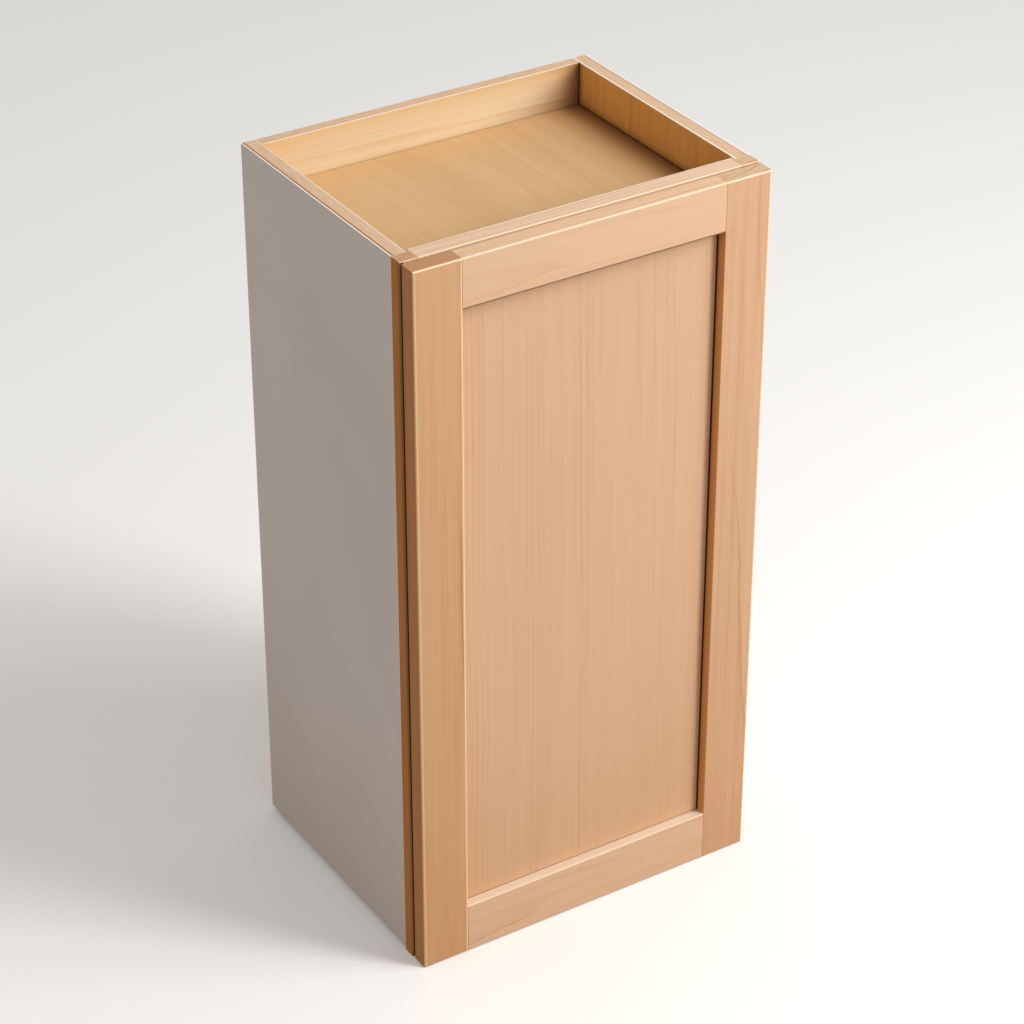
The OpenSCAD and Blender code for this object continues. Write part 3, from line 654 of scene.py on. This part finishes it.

# ---------------------------------------------------------------- Door
# Two stiles run the whole height and two rails fit between them with a cope and stick
# joint. All four are solid maple with softened front edges, and the flat maple-faced
# panel floats in their grooves.
# Painted colours: the warm sides and recess faces stand for shade, the brow for the shadow
# under the top rail, the cream for highlights and the foot tan for warm light bounced from the
# floor.
DOOR_SIDE_SHADE = "#D8965C"
RECESS_SHADE_TAN = "#E3A462"
BROW_SHADOW = "#6A3A1A"
EDGE_HIGHLIGHT = "#FFD9A8"
FOOT_BOUNCE_TAN = "#D08A45"
FOOT_BOUNCE_REACH = 0.450
door_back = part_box("door_left_stile")[1].y
door_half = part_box("door_right_stile")[1].x
stile_left, stile_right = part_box("door_left_stile")[1].x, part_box("door_right_stile")[0].x
ledge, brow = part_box("door_bottom_rail")[1].z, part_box("door_top_rail")[0].z
for stile in (
    {
        "name": "left", "outward": "-X", "inward": "+X", "edge": -door_half,
        "recess": stile_left, "highlight": 0.90, "heart": (-0.175, -0.085, 0.25),
        "pale": "#DDB086", "ring": "#BA8656", "end": "#C8976B", "lines": 0.85,
    },
    {
        "name": "right", "outward": "+X", "inward": "-X", "edge": door_half,
        "recess": stile_right, "highlight": 0.10, "heart": (0.150, -0.060, 0.6),
        "pale": "#E0B692", "ring": "#C08F64", "end": "#EACBA8", "lines": 0.30,
    },
):
    finish = maple_board(
        "door_" + stile["name"] + "_maple", stile["heart"], pale=stile["pale"],
        ring=stile["ring"], end=stile["end"], side=DOOR_SIDE_SHADE, arris="#FFD9AC",
        end_arris="#F3D6B6", ring_pitch=0.006, ring_depth=0.14, line_depth=stile["lines"],
        streak_depth=0.5,
    )
    # Painted shade on the outer side, darker towards the gap behind the door.
    back_corner_shade = meeting("Y", door_back, line=(0.0004, 0.8), shade=(0.005, 0.25))
    crease(finish, stile["outward"], back_corner_shade)
    # The inner face of the recess is painted a warm tan as shade.
    recess_shade = meeting("X", stile["recess"], shade=(0.010, 0.92))
    crease(finish, stile["inward"], recess_shade, colour=RECESS_SHADE_TAN)
    # Painted warm light bounced from the floor, stronger towards the foot.
    crease(finish, "-Y", meeting("Z", 0.0, shade=(FOOT_BOUNCE_REACH, 0.22)), colour=FOOT_BOUNCE_TAN)
    # Painted highlights along the outer front edge and the recess edge.
    crease(
        finish,
        "-Y",
        meeting("X", stile["edge"], line=(0.0024, 0.85)),
        meeting("X", stile["recess"], line=(0.0020, stile["highlight"])),
        colour=EDGE_HIGHLIGHT,
    )
    cover(finish, "door_" + stile["name"] + "_stile")
# The bottom rail's pale side is a painted highlight on the ledge, and the pale end colour a
# painted highlight in the joints with the stiles.
for rail, heart, pale, ring, side in (
    ("top", (-0.728, -0.085, -0.1), "#EAC6A4", "#CFA07B", "#F0C9A5"),
    ("bottom", (-0.020, -0.085, 0.1), "#EBC5A0", "#CF9E76", "#EFDCC6"),
):
    finish = maple_board(
        "door_" + rail + "_maple", heart, "X", pale=pale, ring=ring, end="#F2D6B8",
        side=side, arris="#F1D5B7", ring_ripple=0.003,
    )
    # A painted shadow along the top rail's lower front edge.
    under_brow_shadow = meeting("Z", brow, line=(0.0018, 0.8), shade=(0.004, 0.1))
    crease(finish, "-Y", under_brow_shadow, colour=BROW_SHADOW)
    cover(finish, "door_" + rail + "_rail")
finish = maple_board(
    "door_panel_maple", (-0.50, -0.40, 0.2), pale="#E4BE9A", ring="#C4936A",
    ring_pitch=0.006, ring_wander=0.022, ring_ripple=0.0010, ring_depth=0.10,
    line_depth=0.28, streak_depth=0.29, cloud_depth=0.2,
)
# Painted warm light bounced from the floor, stronger towards the foot.
crease(finish, "-Y", meeting("Z", 0.0, shade=(FOOT_BOUNCE_REACH, 0.19)), colour=FOOT_BOUNCE_TAN)
# Painted shadow where the panel meets its frame: a dark line by the right stile and soft shade
# under the top rail and above the ledge.
crease(
    finish,
    "Y",
    meeting("X", stile_right, line=(0.0024, 1.00)),
    meeting("X", stile_left, line=(0.0008, 0.20), shade=(0.006, 0.10)),
    meeting("Z", brow, line=(0.0012, 0.70), shade=(0.014, 0.50)),
    meeting("Z", ledge, line=(0.0011, 0.50), shade=(0.006, 0.12)),
)
cover(finish, "door_panel")

# ---------------------------------------------------------------- Bumpers
# Two clear soft dots behind the door's free corners meet the face frame when it shuts.
# They are soft self-adhesive plastic, stuck on by hand.
BUMPER_CLEAR = "#E6E8E8"
BUMPER_HAZE = "#D2D5D6"
HAZE_MARKS = (600.0, 600.0, 600.0)
bumper_skin, tree, shader = start_finish("clear_bumper")
haze = noise(tree, add_node(tree, "TexCoord").outputs["Object"], HAZE_MARKS)
tint = mix_paint(tree, haze, paint(BUMPER_CLEAR), paint(BUMPER_HAZE))
tree.links.new(tint, shader.inputs["Base Color"])
tree.links.new(ramp(tree, haze, *NOISE_SPAN, 0.12, 0.22), shader.inputs["Roughness"])
shader.inputs["Transmission Weight"].default_value = 0.55
shader.inputs["IOR"].default_value = 1.45
cover(bumper_skin, "door_bumpers")

# ---------------------------------------------------------------- Hinges
# Each compact hinge is a pressed nickelled cup let into the back of the door stile, a
# riveted pin through its cheeks, and a bent arm screwed to the edge of the face frame.
cover(
    nickel,
    "lower_hinge_cup",
    "upper_hinge_cup",
    "hinge_pins",
    "lower_hinge_arm",
    "upper_hinge_arm",
    "cup_screws",
    "arm_screws",
)
